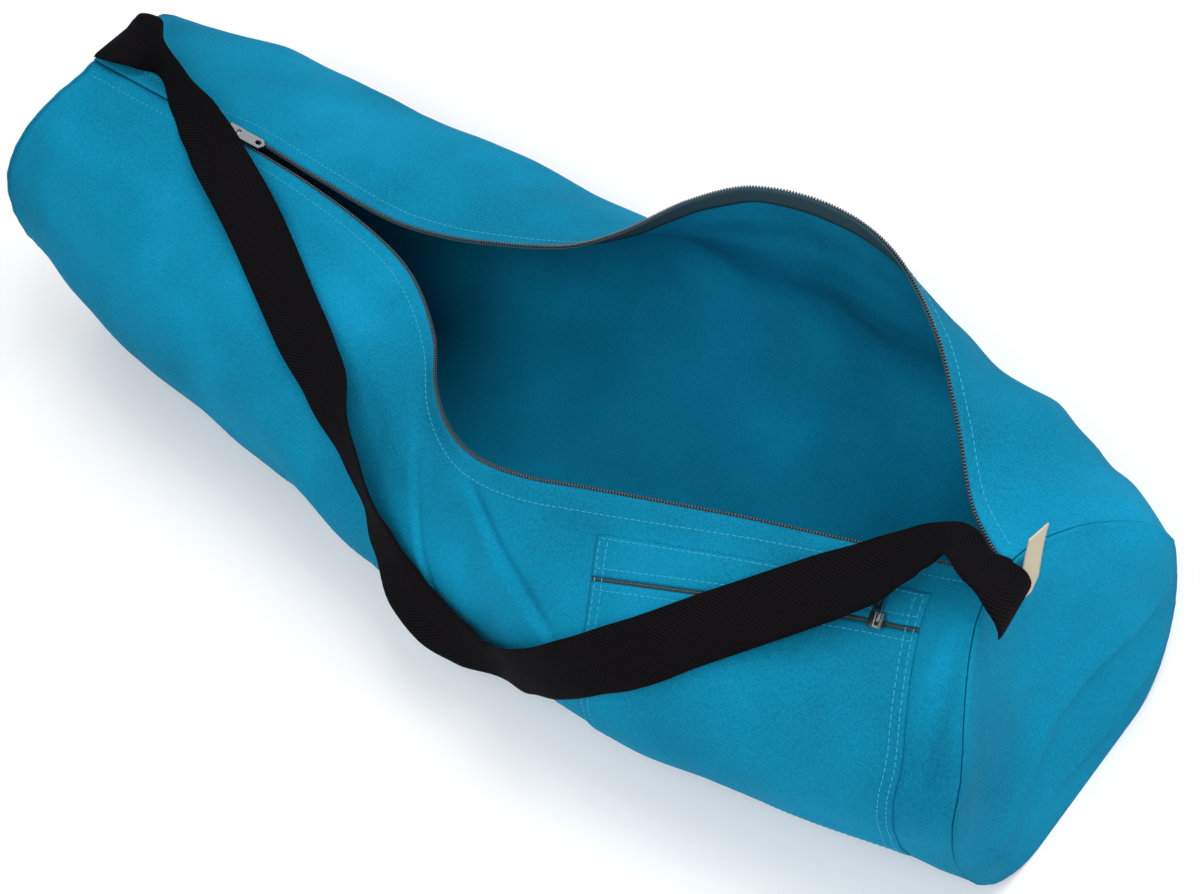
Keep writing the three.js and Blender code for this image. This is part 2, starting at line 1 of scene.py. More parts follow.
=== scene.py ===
# A soft cloth drum bag with a shoulder strap, lying on a pale floor with its long zip part open.
# Lengths are in millimetres unless a note says otherwise. +X runs along the bag to its near end.

import math

import bmesh
import bpy
import numpy as np
from mathutils import Matrix, Vector, noise


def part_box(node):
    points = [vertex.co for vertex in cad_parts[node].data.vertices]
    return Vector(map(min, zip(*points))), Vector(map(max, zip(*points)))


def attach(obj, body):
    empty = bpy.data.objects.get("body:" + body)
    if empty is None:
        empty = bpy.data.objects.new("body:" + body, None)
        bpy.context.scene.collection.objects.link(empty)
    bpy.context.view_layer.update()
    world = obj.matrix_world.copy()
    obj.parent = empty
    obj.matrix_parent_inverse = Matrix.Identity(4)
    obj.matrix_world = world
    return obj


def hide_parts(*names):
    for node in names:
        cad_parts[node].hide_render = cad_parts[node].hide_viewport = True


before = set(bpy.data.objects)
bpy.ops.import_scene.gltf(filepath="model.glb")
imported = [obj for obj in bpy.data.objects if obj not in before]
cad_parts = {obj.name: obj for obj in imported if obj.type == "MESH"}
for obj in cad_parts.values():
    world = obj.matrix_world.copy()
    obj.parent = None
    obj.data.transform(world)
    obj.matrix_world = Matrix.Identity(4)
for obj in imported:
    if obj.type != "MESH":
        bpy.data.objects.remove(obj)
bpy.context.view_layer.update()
millimetre = 0.001
root = "bag"

# The bag's main sizes. The seam pull is how far the end seams lie inwards at the top.
bag = {
    "length": 813,
    "diameter": 203,
    "clothWall": 1.8,
    "seamPull": 34,
    "seamPullReach": 115,
    "panelDish": 15,
    "fit": 0.3,
    "coilRadius": 1.0,
    "coilReach": 2.3,
}
radius = bag["diameter"] / 2
halfLength = bag["length"] / 2
zipHalfGap = bag["coilReach"] + bag["coilRadius"] + bag["fit"] / 2

# Sections across the drum: widths and heights are shares of the drum's radius, leans are degrees
sectionColumns = [
    "at", "backFoot", "backOut", "backOutRise", "backLipY", "backLipZ", "backLean",
    "frontFoot", "frontOut", "frontOutRise", "frontLipY", "frontLipZ", "frontLean",
]
sectionRows = np.array([
    [-1.00, 0.44, 1.01, 0.94, 0.105, 1.89, 84, 0.46, 0.93, 0.96, 0.105, 1.89, 96],
    [-0.82, 0.59, 1.24, 0.84, 0.20, 1.67, 82, 0.61, 1.08, 0.80, 0.20, 1.67, 98],
    [-0.74, 0.63, 1.27, 0.81, 0.25, 1.61, 82, 0.66, 1.13, 0.75, 0.25, 1.61, 98],
    [-0.67, 0.65, 1.29, 0.80, 0.29, 1.57, 82, 0.69, 1.16, 0.73, 0.25, 1.57, 98],
    [-0.50, 0.68, 1.33, 0.77, 0.29, 1.51, 80, 0.75, 1.21, 0.69, 0.25, 1.50, 96],
    [-0.32, 0.71, 1.37, 0.75, 0.30, 1.47, 76, 0.79, 1.25, 0.65, 0.19, 1.45, 92],
    [-0.20, 0.73, 1.39, 0.75, 0.38, 1.47, 70, 0.83, 1.29, 0.61, 0.07, 1.43, 84],
    [-0.09, 0.74, 1.40, 0.75, 0.51, 1.49, 62, 0.87, 1.35, 0.57, -0.18, 1.40, 72],
    [-0.02, 0.74, 1.40, 0.76, 0.60, 1.52, 56, 0.89, 1.38, 0.57, -0.44, 1.39, 58],
    [0.06, 0.74, 1.40, 0.77, 0.67, 1.64, 46, 0.91, 1.40, 0.57, -0.62, 1.40, 46],
    [0.14, 0.74, 1.40, 0.77, 0.82, 1.78, 36, 0.92, 1.42, 0.59, -0.68, 1.41, 42],
    [0.24, 0.73, 1.39, 0.79, 1.05, 2.00, 20, 0.92, 1.43, 0.61, -0.63, 1.44, 46],
    [0.34, 0.71, 1.38, 0.81, 1.23, 2.13, 8, 0.91, 1.43, 0.63, -0.51, 1.47, 54],
    [0.47, 0.69, 1.37, 0.83, 1.33, 2.13, 0, 0.87, 1.41, 0.67, -0.35, 1.50, 64],
    [0.60, 0.65, 1.37, 0.85, 1.25, 2.12, 8, 0.79, 1.32, 0.73, -0.20, 1.54, 74],
    [0.73, 0.61, 1.34, 0.90, 0.97, 2.07, 36, 0.71, 1.23, 0.79, -0.07, 1.59, 82],
    [0.83, 0.56, 1.29, 0.96, 0.62, 1.98, 60, 0.62, 1.15, 0.85, 0.02, 1.65, 88],
    [0.91, 0.50, 1.18, 1.02, 0.31, 1.90, 72, 0.55, 1.08, 0.89, 0.06, 1.74, 92],
    [1.00, 0.42, 0.97, 1.08, 0.105, 1.89, 84, 0.45, 1.01, 0.91, 0.105, 1.89, 96],
])

# How the cloth bends between a section's lip, its widest place and its foot
bend = {
    "wallReach": 0.39,     # shares of the way between these places
    "cornerRise": 0.45,
    "footReach": 0.55,
    "wallPoints": 60,
    "cornerPoints": 50,
    "slopeStep": 3,        # how far to each side of a place its slope is measured
}


def smoothStep(value, low, high):
    t = np.clip((np.asarray(value, float) - low) / (high - low), 0, 1)
    return t * t * (3 - 2 * t)


def sectionValue(column, at):
    index = sectionColumns.index(column)
    rows = sectionRows
    last = len(rows) - 1
    k = int(np.clip(np.searchsorted(rows[:, 0], at, side="left") - 1, 0, last - 1))

    def slope(n):
        before = rows[max(n - 1, 0)]
        after = rows[min(n + 1, last)]
        return (after[index] - before[index]) / (after[0] - before[0])

    span = rows[k + 1][0] - rows[k][0]
    t = (at - rows[k][0]) / span
    fromStart = (1 + 2 * t) * (1 - t) ** 2 * rows[k][index] + t * (1 - t) ** 2 * span * slope(k)
    fromEnd = t * t * (3 - 2 * t) * rows[k + 1][index] - t * t * (1 - t) * span * slope(k + 1)
    return fromStart + fromEnd


def bezier(a, b, c, d, count):
    t = np.linspace(0, 1, count)[:, None]
    return (1 - t) ** 3 * a + 3 * t * (1 - t) ** 2 * b + 3 * t * t * (1 - t) * c + t ** 3 * d


# The sides already worked out: (depths below the lip, places across and up)
sidePaths = {}


# One side of a section, from its lip to its foot. The back is side 1, the front is side -1.
def sidePath(at, side):
    key = (round(at, 5), side)
    if key in sidePaths:
        return sidePaths[key]
    name = "back" if side > 0 else "front"
    foot = np.array([side * sectionValue(name + "Foot", at) * radius, 0])
    out = np.array([
        side * sectionValue(name + "Out", at) * radius,
        sectionValue(name + "OutRise", at) * radius,
    ])
    lip = np.array([
        sectionValue(name + "LipY", at) * radius + side * zipHalfGap,
        sectionValue(name + "LipZ", at) * radius,
    ])
    lean = math.radians(sectionValue(name + "Lean", at))
    up = np.array([-side * math.sin(lean), math.cos(lean)])
    reach = bend["wallReach"] * np.linalg.norm(out - lip)
    wall = bezier(lip, lip - up * reach, np.array([out[0], out[1] + reach]), out, bend["wallPoints"])
    lower = np.array([out[0], out[1] * bend["cornerRise"]])
    inward = np.array([foot[0] + bend["footReach"] * (out[0] - foot[0]), 0])
    corner = bezier(out, lower, inward, foot, bend["cornerPoints"])
    path = np.vstack([wall, corner[1:]])
    steps = np.linalg.norm(np.diff(path, axis=0), axis=1)
    downs = np.concatenate([[0], np.cumsum(steps)])
    sidePaths[key] = (downs, path)
    return sidePaths[key]


def sideLength(at, side):
    return sidePath(at, side)[0][-1]


def pullAt(down):
    return bag["seamPull"] * (1 - smoothStep(down, 0, bag["seamPullReach"]))


# The point of the plain cloth at a depth below a lip, moved outwards by the length out
def wallPoint(at, side, down, out):
    downs, path = sidePath(at, side)
    reach = np.clip(down, 0, downs[-1])
    middle = np.array([np.interp(reach, downs, path[:, k]) for k in (0, 1)])
    low = np.clip(reach - bend["slopeStep"], 0, downs[-1])
    high = np.clip(reach + bend["slopeStep"], 0, downs[-1])
    ahead = np.array([np.interp(high, downs, path[:, k]) for k in (0, 1)])
    behind = np.array([np.interp(low, downs, path[:, k]) for k in (0, 1)])
    along = (ahead - behind) / (np.linalg.norm(ahead - behind) + 1e-9)
    middle = middle + along * (down - reach)
    outward = np.array([-side * along[1], side * along[0]])
    place = middle + outward * out
    return np.array([at * (halfLength - pullAt(down)), place[0], place[1]])


# Soft folds of the cloth. Each row is a ridge, or a dent where its height is below 0, between two places.
# The columns are the first place (along, down), the second place (along, down), the width to each side and
# the height. Along is a share of the half length.
frontFolds = np.array([
    [0.16, 30, 0.30, 150, 14, -2.0],
    [-0.06, 12, 0.10, 120, 26, 3.0],
    [-0.60, 26, -0.14, 34, 20, -2.5],
    [-0.95, 40, -0.55, 140, 30, 3.0],
    [-0.80, 120, -0.30, 180, 26, -2.5],
    [-0.45, 90, -0.05, 190, 26, 2.5],
    [0.990, 34, 0.948, 104, 9, -4.0],
    [0.94, 60, 0.985, 30, 8, 2.4],
    [0.945, 150, 0.99, 120, 9, 2.6],
    [0.95, 170, 0.99, 190, 8, -2.4],
    [-0.70, 40, -0.93, 26, 10, -2.4],
    [-0.72, 64, -0.95, 60, 12, 2.6],
    [0.30, 8, 0.42, 70, 14, -2.0],
])
backFolds = np.array([
    [-0.95, 50, -0.45, 90, 26, -3.0],
    [-0.50, 30, 0.06, 50, 24, 3.0],
    [0.10, 120, 0.80, 150, 30, 3.0],
    [0.62, 100, 0.86, 12, 15, -4.0],
    [0.72, 120, 0.92, 20, 12, 3.5],
    [0.85, 130, 0.97, 40, 12, -3.5],
    [0.93, 30, 0.98, 90, 9, 2.5],
])

# Creases, where the cloth folds over itself: it stands high on one side of the line and drops at it.
# The columns are those of the folds and the width of the drop. The high side is on the left of the way
# from the first place to the second. The near panel's places are (across, up), in drum radii.
frontCreases = np.array([
    [0.10, 3, 0.38, 92, 34, 5.5, 0.45],
    [-0.02, 18, 0.16, 110, 22, 2.0, 0.45],
])
nearPanelCreases = np.array([
    [-1.02, 0.46, 1.02, 0.92, 26, 14.0, 2.6],
    [-0.30, -0.02, 0.90, 0.46, 26, 9.0, 1.2],
    [-0.62, -0.05, -0.90, 0.82, 16, 3.0, 0.45],
])
crease = {
    "softEnds": 0.22,      # the share of its length over which a crease fades at each end
    "groove": 0.5,         # the groove beside a sharp crease, as a share of its height
    "grooveAside": 2.2,
    "grooveWidth": 2.0,
    "sharpRamp": 0.45,
    "steepest": 40,
}


# The place's share of the way along a line, and how far it lies to the line's left
def besideLine(place, start, end):
    line = end - start
    length = math.hypot(line[0], line[1])
    away = place - start
    share = (away[0] * line[0] + away[1] * line[1]) / (length * length)
    left = (line[0] * away[1] - line[1] * away[0]) / length
    return share, left


def ridgeHeight(place, start, end, width, height):
    share, left = besideLine(place, start, end)
    beyond = (share - min(max(share, 0), 1)) * math.dist(start, end)
    return height * math.exp(-(left * left + beyond * beyond) / (width * width))


def creaseHeight(place, start, end, width, height, ramp):
    share, left = besideLine(place, start, end)
    fromStart = min(max(share / crease["softEnds"], 0), 1)
    fromEnd = min(max((1 - share) / crease["softEnds"], 0), 1)
    steepness = min(max(left / ramp, -crease["steepest"]), crease["steepest"])
    rise = 1 / (1 + math.exp(-steepness))
    aside = (left + crease["grooveAside"]) / crease["grooveWidth"]
    groove = crease["groove"] * crease["sharpRamp"] / ramp * math.exp(-(aside ** 2))
    return height * fromStart * fromEnd * (rise * math.exp(-max(left, 0) / width) - groove)


def foldsAt(place, folds, creases, scale):
    total = 0.0
    for row in folds:
        total += ridgeHeight(place, row[0:2] * scale, row[2:4] * scale, row[4], row[5])
    for row in creases:
        total += creaseHeight(place, row[0:2] * scale, row[2:4] * scale, *row[4:7])
    return total


# The cloth's small unevenness, and where its folds fade out
cloth = {
    "lipFade": (4, 30),
    "footFade": (12, 60),
    "endFade": 0.05,       # a share of the half length
    "endShare": 0.25,      # what is left of the folds at the end seams
    "softHeight": 3.0,
    "softAlong": 90,
    "softDown": 55,
    "softApart": 7.0,
    "fineHeight": 1.1,
    "fineTurns": 2.6,
    "puckerHeight": 0.8,
    "puckerDown": 8,
    "puckerTurns": 9,
    "puckerFrom": 0.95,
    "puckerTo": 0.995,
}


# How far the folds lift the cloth at a place
def foldHeight(at, side, down):
    x = at * halfLength
    scale = np.array([halfLength, 1])
    folds = frontFolds if side < 0 else backFolds
    creases = frontCreases if side < 0 else []
    total = foldsAt(np.array([x, down]), folds, creases, scale)
    puckers = noise.noise(Vector((down / cloth["puckerDown"], at * cloth["puckerTurns"], side)))
    nearSeam = float(smoothStep(abs(at), cloth["puckerFrom"], cloth["puckerTo"]))
    pucker = cloth["puckerHeight"] * puckers * nearSeam
    lipFade = float(smoothStep(down, *cloth["lipFade"]))
    footFade = float(smoothStep(sideLength(at, side) - down, *cloth["footFade"]))
    endFade = float(smoothStep(1 - abs(at), 0.0, cloth["endFade"]))
    place = Vector((x / cloth["softAlong"], down / cloth["softDown"], side * cloth["softApart"]))
    soft = cloth["softHeight"] * noise.noise(place)
    soft += cloth["fineHeight"] * noise.noise(place * cloth["fineTurns"])
    kept = cloth["endShare"] + (1 - cloth["endShare"]) * endFade
    return ((total + soft) * kept + pucker) * lipFade * footFade


# The point of the folded cloth at a depth below a lip
def clothPoint(at, side, down, out):
    return wallPoint(at, side, down, out + foldHeight(at, side, max(down, 0)))


def metres(points):
    return [tuple(float(v) * millimetre for v in point) for point in points]


# A smooth mesh object from points in millimetres, with its normals outwards
def newObject(name, vertices, faces, material=None):
    mesh = bpy.data.meshes.new(name)
    mesh.from_pydata(metres(vertices), [], faces)
    mesh.validate()
    mesh.update()
    made = bmesh.new()
    made.from_mesh(mesh)
    bmesh.ops.recalc_face_normals(made, faces=made.faces)
    made.to_mesh(mesh)
    made.free()
    mesh.shade_smooth()
    thing = bpy.data.objects.new(name, mesh)
    bpy.context.scene.collection.objects.link(thing)
    if material:
        mesh.materials.append(material)
    return thing


# A closed sheet between two grids of points with the same shape
def sheetBetween(name, outer, inner, material):
    rows, columns = outer.shape[:2]
    count = rows * columns
    vertices = np.vstack([outer.reshape(-1, 3), inner.reshape(-1, 3)])
    faces = []
    for i in range(rows - 1):
        for j in range(columns - 1):
            a = i * columns + j
            faces.append((a, a + 1, a + columns + 1, a + columns))
            b = a + count
            faces.append((b, b + columns, b + columns + 1, b + 1))
    for i in range(rows - 1):
        for j in (0, columns - 1):
            a = i * columns + j
            faces.append((a, a + columns, a + columns + count, a + count))
    for j in range(columns - 1):
        for i in (0, rows - 1):
            a = i * columns + j
            faces.append((a, a + 1, a + 1 + count, a + count))
    return newObject(name, vertices, faces, material)


def addUv(thing, coordinates):
    layer = thing.data.uv_layers.new(name="cloth")
    for loop in thing.data.loops:
        layer.data[loop.index].uv = coordinates[loop.vertex_index]


# The specular level of matt and shiny finishes, and the roughness below which a finish is shiny
gloss = {"matt": 0.06, "shiny": 0.5, "shinyBelow": 0.6}


def shaderNodes(name, colour, roughness, metallic=0.0):
    material = bpy.data.materials.new(name)
    material.use_nodes = True
    shader = material.node_tree.nodes["Principled BSDF"]
    shiny = metallic or roughness < gloss["shinyBelow"]
    shader.inputs["Base Color"].default_value = (*colour, 1)
    shader.inputs["Roughness"].default_value = roughness
    shader.inputs["Metallic"].default_value = metallic
    shader.inputs["Specular IOR Level"].default_value = gloss["shiny"] if shiny else gloss["matt"]
    return material, material.node_tree, shader


# A mix of two colours by a factor socket, into the shader's base colour
def addTint(tree, shader, factor, darker, lighter):
    tint = tree.nodes.new("ShaderNodeMix")
    tint.data_type = "RGBA"
    tint.inputs[6].default_value = (*darker, 1)
    tint.inputs[7].default_value = (*lighter, 1)
    tree.links.new(factor, tint.inputs[0])
    tree.links.new(tint.outputs[2], shader.inputs["Base Color"])


def addRelief(tree, shader, height, strength, distance):
    relief = tree.nodes.new("ShaderNodeBump")
    relief.inputs["Strength"].default_value = strength
    relief.inputs["Distance"].default_value = distance
    tree.links.new(height, relief.inputs["Height"])
    tree.links.new(relief.outputs["Normal"], shader.inputs["Normal"])


# What all the woven cloths share. Broad patches and threads both tint the cloth.
weaving = {
    "roughness": 0.92,
    "detail": 3,
    "threadRoughness": 0.7,
    "patchesPerMetre": 9,
    "tintFrom": 0.6,
    "tintTo": 1.4,
    "threadHeight": 0.0004,    # metres
}


def clothMaterial(name, colour, mottle, threadsPerMetre, relief):
    material, tree, shader = shaderNodes(name, colour, weaving["roughness"])
    nodes, links = tree.nodes, tree.links
    coordinates = nodes.new("ShaderNodeTexCoord")
    threads = nodes.new("ShaderNodeTexNoise")
    threads.inputs["Scale"].default_value = threadsPerMetre
    threads.inputs["Detail"].default_value = weaving["detail"]
    threads.inputs["Roughness"].default_value = weaving["threadRoughness"]
    links.new(coordinates.outputs["Object"], threads.inputs["Vector"])
    patches = nodes.new("ShaderNodeTexNoise")
    patches.inputs["Scale"].default_value = weaving["patchesPerMetre"]
    patches.inputs["Detail"].default_value = weaving["detail"]
    links.new(coordinates.outputs["Object"], patches.inputs["Vector"])
    amount = nodes.new("ShaderNodeMath")
    amount.operation = "ADD"
    links.new(threads.outputs["Fac"], amount.inputs[0])
    links.new(patches.outputs["Fac"], amount.inputs[1])
    spread = nodes.new("ShaderNodeMapRange")
    spread.inputs["From Min"].default_value = weaving["tintFrom"]
    spread.inputs["From Max"].default_value = weaving["tintTo"]
    links.new(amount.outputs["Value"], spread.inputs["Value"])
    darker = tuple(channel * (1 - mottle) for channel in colour)
    lighter = tuple(min(channel * (1 + mottle), 1) for channel in colour)
    addTint(tree, shader, spread.outputs["Result"], darker, lighter)
    addRelief(tree, shader, threads.outputs["Fac"], relief, weaving["threadHeight"])
    return material


# The webbing's ribs run slanting from both edges and meet in the middle, with painted shade darkening
# their valleys and a painted highlight lightening their crests. Its UV is in millimetres.
webbing = {
    "colour": (0.0050, 0.0042, 0.0055),
    # The valley colour is painted shade and the crest colour is a painted highlight, both following the
    # ribs' relief
    "valleyPaintedShade": (0.0018, 0.0015, 0.0021),
    "crestPaintedHighlight": (0.0062, 0.0052, 0.0068),
    "roughness": 0.95,
    "ribPitch": 2.6,
    "ribRelief": 0.8,
    "ribHeight": 0.0003,    # metres
}


def webbingMaterial():
    material, tree, shader = shaderNodes("webbing", webbing["colour"], webbing["roughness"])
    nodes, links = tree.nodes, tree.links
    place = nodes.new("ShaderNodeUVMap")
    place.uv_map = "cloth"
    parts = nodes.new("ShaderNodeSeparateXYZ")
    links.new(place.outputs["UV"], parts.inputs["Vector"])

    def step(operation, *values):
        node = nodes.new("ShaderNodeMath")
        node.operation = operation
        for socket, value in zip(node.inputs, values):
            if isinstance(value, (int, float)):
                socket.default_value = value
            else:
                links.new(value, socket)
        return node.outputs["Value"]

    slant = step("ADD", parts.outputs["X"], step("ABSOLUTE", parts.outputs["Y"]))
    wave = step("SINE", step("MULTIPLY", slant, 2 * math.pi / webbing["ribPitch"]))
    addRelief(tree, shader, wave, webbing["ribRelief"], webbing["ribHeight"])
    # The tint paints shade into the rib valleys and a highlight onto the rib crests
    addTint(tree, shader, step("MULTIPLY_ADD", wave, 0.5, 0.5), webbing["valleyPaintedShade"], webbing["crestPaintedHighlight"])
    return material


# Each cloth's colour, its mottle, its threads to a metre and the strength of its relief
canvas = clothMaterial("canvas", (0.003, 0.202, 0.352), 0.42, 750, 0.8)
thread = clothMaterial("thread", (0.05, 0.36, 0.52), 0.05, 2500, 0.3)
tapeCloth = clothMaterial("zip_tape", (0.035, 0.075, 0.095), 0.10, 2000, 0.4)
tabCloth = clothMaterial("cotton", (0.55, 0.49, 0.36), 0.08, 1500, 0.5)
webbingCloth = webbingMaterial()
coilMetal = shaderNodes("coil_glint", (0.10, 0.105, 0.11), 0.28, 0.6)[0]
bright = shaderNodes("zip_metal", (0.42, 0.44, 0.45), 0.3, 1.0)[0]
print("materials made")


# Many small copies of a shape as one plain mesh: points with a turn each, and a copy on every point
def scattered(name, places, turns, shape, material, scale):
    mesh = bpy.data.meshes.new(name)
    mesh.from_pydata(metres(places), [], [])
    turnLayer = mesh.attributes.new("turn", "FLOAT_VECTOR", "POINT")
    turnLayer.data.foreach_set("vector", np.array(turns, float).ravel())
    holder = bpy.data.objects.new(name, mesh)
    bpy.context.scene.collection.objects.link(holder)
    tree = bpy.data.node_groups.new(name + "_copies", "GeometryNodeTree")
    tree.interface.new_socket("Geometry", in_out="INPUT", socket_type="NodeSocketGeometry")
    tree.interface.new_socket("Copy", in_out="INPUT", socket_type="NodeSocketObject")
    tree.interface.new_socket("Size", in_out="INPUT", socket_type="NodeSocketVector")
    tree.interface.new_socket("Geometry", in_out="OUTPUT", socket_type="NodeSocketGeometry")
    nodes, links = tree.nodes, tree.links
    entry = nodes.new("NodeGroupInput")
    leave = nodes.new("NodeGroupOutput")
    copyInfo = nodes.new("GeometryNodeObjectInfo")
    turn = nodes.new("GeometryNodeInputNamedAttribute")
    turn.data_type = "FLOAT_VECTOR"
    turn.inputs["Name"].default_value = "turn"
    instances = nodes.new("GeometryNodeInstanceOnPoints")
    realize = nodes.new("GeometryNodeRealizeInstances")
    finish = nodes.new("GeometryNodeSetMaterial")
    finish.inputs["Material"].default_value = material
    links.new(entry.outputs["Geometry"], instances.inputs["Points"])
    links.new(entry.outputs["Copy"], copyInfo.inputs["Object"])
    links.new(copyInfo.outputs["Geometry"], instances.inputs["Instance"])
    links.new(turn.outputs["Attribute"], instances.inputs["Rotation"])
    links.new(entry.outputs["Size"], instances.inputs["Scale"])
    links.new(instances.outputs["Instances"], realize.inputs["Geometry"])
    links.new(realize.outputs["Geometry"], finish.inputs["Geometry"])
    links.new(finish.outputs["Geometry"], leave.inputs["Geometry"])
    modifier = holder.modifiers.new("copies", "NODES")
    modifier.node_group = tree
    modifier[tree.interface.items_tree["Copy"].identifier] = shape
    modifier[tree.interface.items_tree["Size"].identifier] = scale
    graph = bpy.context.evaluated_depsgraph_get()
    made = bpy.data.meshes.new_from_object(holder.evaluated_get(graph))
    holder.modifiers.clear()
    holder.data = made
    holder.data.shade_smooth()
    return holder


# A small closed mesh whose length lies along X, copied as a stitch or as a zip tooth. Each ring is its
# place along, half its width and half its height, which the copy's size then scales.
def smallShape(name, rings, sides=8):
    vertices = []
    faces = []
    for x, halfWidth, halfHeight in rings:
        for k in range(sides):
            angle = 2 * math.pi * k / sides
            vertices.append((x, halfWidth * math.cos(angle), halfHeight * math.sin(angle)))
    for i in range(len(rings) - 1):
        for k in range(sides):
            a = i * sides + k
            b = i * sides + (k + 1) % sides
            faces.append((a, b, b + sides, a + sides))
    faces.append(tuple(range(sides)))
    faces.append(tuple((len(rings) - 1) * sides + k for k in range(sides)))
    return newObject(name, vertices, faces)


# The turn that lays X along a line and Z towards the outside
def turnFrom(along, out):
    x = Vector(along).normalized()
    z = Vector(out)
    z = (z - x * z.dot(x)).normalized()
    y = z.cross(x)
    return Matrix((x, y, z)).transposed().to_euler("XYZ")


aheadStep = 0.5    # how far to each side of a place its way ahead is measured


# Evenly spaced places along a line that point(t) draws for t from 0 to 1, with the way ahead at each
def evenPlaces(point, pitch, samples):
    ts = np.linspace(0, 1, samples)
    line = np.array([point(t) for t in ts])
    steps = np.concatenate([[0], np.cumsum(np.linalg.norm(np.diff(line, axis=0), axis=1))])
    count = max(int(steps[-1] / pitch), 1)
    wanted = (np.arange(count) + 0.5) * steps[-1] / count
    places = np.stack([np.interp(wanted, steps, line[:, k]) for k in range(3)], axis=1)
    times = np.interp(wanted, steps, ts)
    alongs = np.stack([
        np.interp(wanted + aheadStep, steps, line[:, k]) - np.interp(wanted - aheadStep, steps, line[:, k])
        for k in range(3)
    ], axis=1)
    return places, alongs, times


print("cloth functions ready")

# The cloth wall. Its lips hang a little over the zip, and further where the zip is closed.
clothWall = {
    "thickness": 1.5,
    "overhang": 1.3,
    "closedOverhang": 1.8,
    "closedRise": 1.5,
    "closedFrom": 0.735,    # shares of the half length, on the far side
    "closedTo": 0.765,
    "riseReach": 9,
    "lipRounding": 0.4,
    "lipRoundingReach": 1.2,
    "coarseStep": 4.0,
    "fineStep": 1.5,
    "fineFrom": 0.05,       # shares of the half length, on the near side
    "fineTo": 0.42,
    "fineNearEnd": 0.94,
    "lipZone": 14,
    "lipSteps": 6,
    "sidePoints": 76,
}


# Stations along the wall, closer together where the cloth is creased
def wallStations():
    stations = [-1.0]
    while stations[-1] < 1:
        inCreases = clothWall["fineFrom"] < stations[-1] < clothWall["fineTo"]
        fine = inCreases or stations[-1] > clothWall["fineNearEnd"]
        step = clothWall["fineStep"] if fine else clothWall["coarseStep"]
        stations.append(stations[-1] + step / halfLength)
    stations[-1] = 1.0
    return stations


# Where a ring of the wall starts at its lip, and how far the lip stands up there
def lipStart(at):
    closed = float(smoothStep(-at, clothWall["closedFrom"], clothWall["closedTo"]))
    return -clothWall["overhang"] - closed * clothWall["closedOverhang"], closed * clothWall["closedRise"]


def ringDowns(length, start):
    near = np.linspace(start, clothWall["lipZone"], clothWall["lipSteps"] + 1)[:-1]
    rest = np.linspace(clothWall["lipZone"], length, clothWall["sidePoints"])
    return np.concatenate([near, rest])


def clothWallGrids():
    outer = []
    inner = []
    for at in wallStations():
        start, rise = lipStart(at)
        outerRing = []
        innerRing = []
        for side in (1, -1):
            downs = ringDowns(sideLength(at, side), start)
            for down in downs if side > 0 else downs[::-1]:
                lift = rise * float(1 - smoothStep(down, 0, clothWall["riseReach"]))
                edge = float(1 - smoothStep(down - start, 0, clothWall["lipRoundingReach"]))
                outerRing.append(clothPoint(at, side, down, lift - clothWall["lipRounding"] * edge))
                innerRing.append(clothPoint(at, side, down, lift - clothWall["thickness"]))
        outer.append(outerRing)
        inner.append(innerRing)
    return np.array(outer), np.array(inner)


outerGrid, innerGrid = clothWallGrids()
wall = sheetBetween("cloth_wall", outerGrid, innerGrid, canvas)
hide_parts("body_wall")
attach(wall, root)
print("cloth wall made", len(wall.data.polygons))

# The end panels. The dish and the folds are level at the seam and grow towards the middle.
panel = {
    "rings": 44,
    "thickness": 1.5,
    "seamRoll": 2.0,        # how far the panel's edge stands out past the wall
    "dishFrom": 0.1,        # shares of the way from the middle to the seam
    "dishTo": 0.97,
    "foldsFadeFrom": 0.86,
}
sameSpot = 0.00001          # metres within which points at the panel's middle are one point

# Soft folds of the near panel (1) and of the far panel (-1), with places (across, up) in drum radii
panelFolds = {
    1: np.array([
        [0.20, 1.60, 0.90, 1.10, 26, 2.0],
        [-0.30, 1.70, -0.60, 1.10, 18, -2.0],
    ]),
    -1: np.array([
        [-0.60, 1.40, 0.40, 0.50, 24, 3.0],
        [0.60, 1.50, -0.30, 0.30, 22, -3.0],
    ]),
}


def endPanel(name, end, node):
    rim = outerGrid[-1 if end > 0 else 0]
    middle = rim.mean(axis=0)
    outer = []
    inner = []
    creases = nearPanelCreases if end > 0 else []
    for share in np.linspace(1, 0, panel["rings"]):
        dish = bag["panelDish"] * (1 - float(smoothStep(share, panel["dishFrom"], panel["dishTo"])))
        ring = middle + (rim - middle) * share
        free = float(1 - smoothStep(share, panel["foldsFadeFrom"], 1.0))
        lift = np.array([foldsAt(place[1:], panelFolds[end], creases, radius) for place in ring])
        ring[:, 0] += end * (bag["fit"] + panel["seamRoll"] - dish + lift * free)
        outer.append(ring.copy())
        ring[:, 0] -= end * panel["thickness"]
        inner.append(ring)
    outer = np.array(outer)
    inner = np.array(inner)
    outer = np.concatenate([outer, outer[:, :1]], axis=1)
    inner = np.concatenate([inner, inner[:, :1]], axis=1)
    made = sheetBetween(name, outer, inner, canvas)
    edit = bmesh.new()
    edit.from_mesh(made.data)
    bmesh.ops.remove_doubles(edit, verts=edit.verts, dist=sameSpot)
    bmesh.ops.recalc_face_normals(edit, faces=edit.faces)
    edit.to_mesh(made.data)
    edit.free()
    made.data.shade_smooth()
    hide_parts(node)
    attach(made, root)


endPanel("panel_far", -1, "end_panel_far")
endPanel("panel_near", 1, "end_panel_near")
print("end panels made")

